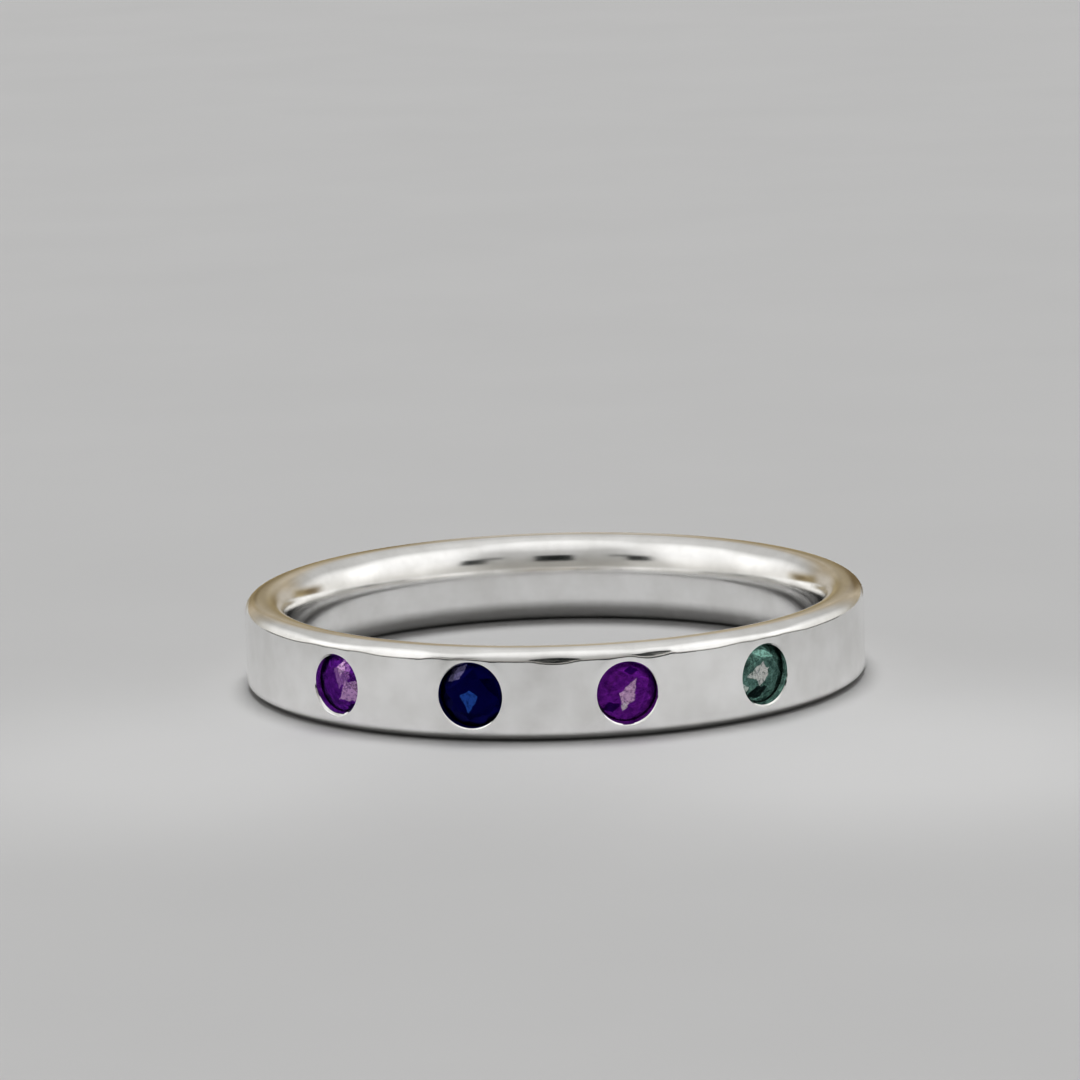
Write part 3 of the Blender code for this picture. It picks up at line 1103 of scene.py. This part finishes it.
def curved_card(name, radius, half_turn, middle, top, finish):
    """A low curved sheet on the table. Its middle and half turn are azimuths in degrees."""
    shape = bmesh.new()
    foot, head = (shape.verts.new((0, -radius, height)) for height in (0, top))
    edge = shape.edges.new((foot, head))
    start = Matrix.Rotation(math.radians(middle - half_turn), 3, "Z")
    bmesh.ops.rotate(shape, verts=[foot, head], cent=(0, 0, 0), matrix=start)
    bmesh.ops.spin(
        shape,
        geom=[foot, head, edge],
        cent=(0, 0, 0),
        axis=(0, 0, 1),
        angle=math.radians(2 * half_turn),
        steps=CURVE_STEPS,
    )
    stand_up(add_piece(name, shape), finish)


# %% Stand the sheets round the ring
TABLE_EDGE = 38 * MM
SIDES = (("left", -1), ("right", 1))
black_cloth = glow_material("black_cloth", (0.012, 0.016, 0.015))
grey_cloth = glow_material("grey_cloth", (0.26, 0.26, 0.25))
far_card("camera_opening", 1, 15, 28, 8.5, black_cloth)
for name, side in SIDES:
    far_card("stand_" + name, 38 * side, 15, 25, 5.5, black_cloth)
    far_card("arm_" + name, 30 * side, 23, 28, 5.5, grey_cloth)
curved_card("table_edge", TABLE_EDGE, 46, 0, 4.6 * MM, black_cloth)
for name, side in SIDES:
    curved_card("table_" + name, TABLE_EDGE, 35, 81 * side, 4.0 * MM, grey_cloth)
print("radius of the table's edge:", 1000 * TABLE_EDGE, "mm")

# %% [markdown]
# ## Warm wood behind
#
# Close behind the ring stands a low curved piece of brown wood, paler in its middle and towards
# its top, with a dark knot on the right. Only the ends of the ring catch it. Its patchy colour
# comes from a noise, and a Mix Shader lets its borders fade out.

# %% The wood's colour
WOOD_RADIUS = 26 * MM
WOOD_HALF_TURN = 44
WOOD_HEIGHT = 12 * MM
GRAIN_SIZE = 6 * MM
DARK_WOOD = (0.27, 0.215, 0.125, 1)
LIGHT_WOOD = (0.52, 0.44, 0.29, 1)
KNOT = (0.17, 0.12, 0.06, 1)
PALE_WOOD = (0.60, 0.56, 0.50, 1)
wood = bpy.data.materials.new("brown_wood")
wood.use_nodes = True
tree = wood.node_tree
tree.nodes.remove(tree.nodes["Principled BSDF"])
wood_place = tree.nodes.new("ShaderNodeTexCoord").outputs["Object"]
wood_spot = tree.nodes.new("ShaderNodeSeparateXYZ")
wire(tree, wood_place, wood_spot.inputs["Vector"])
rightward, upward = wood_spot.outputs["X"], wood_spot.outputs["Z"]
from_middle = math_node(tree, "ABSOLUTE", rightward)
grain = noise_node(tree, stretch(tree, wood_place, (1, 1, 1.5)), GRAIN_SIZE, detail=2.0)
brown = mix_colors(tree, remap(tree, grain, 0.3, 0.7), DARK_WOOD, LIGHT_WOOD)
knot = remap(tree, rightward, 10.5 * MM, 12.5 * MM, 0.0, 0.7)
brown = mix_colors(tree, knot, brown, KNOT)
# The wood turns paler towards its top and in its middle.
pale_top = remap(tree, upward, 7 * MM, 10.5 * MM)
pale_middle = remap(tree, from_middle, 7 * MM, 3 * MM)
paleness = math_node(tree, "MAXIMUM", pale_top, pale_middle)
shine = tree.nodes.new("ShaderNodeEmission")
wire(tree, mix_colors(tree, paleness, brown, PALE_WOOD), shine.inputs["Color"])

# %% Fade its borders and stand it up
fading_top = remap(tree, upward, 11.5 * MM, 7.5 * MM)
fading_ends = remap(tree, from_middle, 17.5 * MM, 14.5 * MM)
blend = tree.nodes.new("ShaderNodeMixShader")
wire(tree, math_node(tree, "MULTIPLY", fading_top, fading_ends), blend.inputs[0])
wire(tree, tree.nodes.new("ShaderNodeBsdfTransparent").outputs["BSDF"], blend.inputs[1])
wire(tree, shine.outputs["Emission"], blend.inputs[2])
wire(tree, blend.outputs["Shader"], tree.nodes["Material Output"].inputs["Surface"])
curved_card("wood_behind", WOOD_RADIUS, WOOD_HALF_TURN, 180, WOOD_HEIGHT, wood)
print("nodes in the wood:", len(tree.nodes))

# %% [markdown]
# ## Exposure
#
# Blender's usual film look lowers contrast and bleaches colour. A product picture keeps its
# colours and has deep shadows, so the plain standard view is chosen, and its gamma is set below
# one for a little more contrast.

# %% Colour management
PICTURE_GAMMA = 0.74
view = bpy.context.scene.view_settings
view.view_transform = "Standard"
view.look = "None"
view.gamma = PICTURE_GAMMA
print(f"view {view.view_transform}, gamma {view.gamma:.2f}")
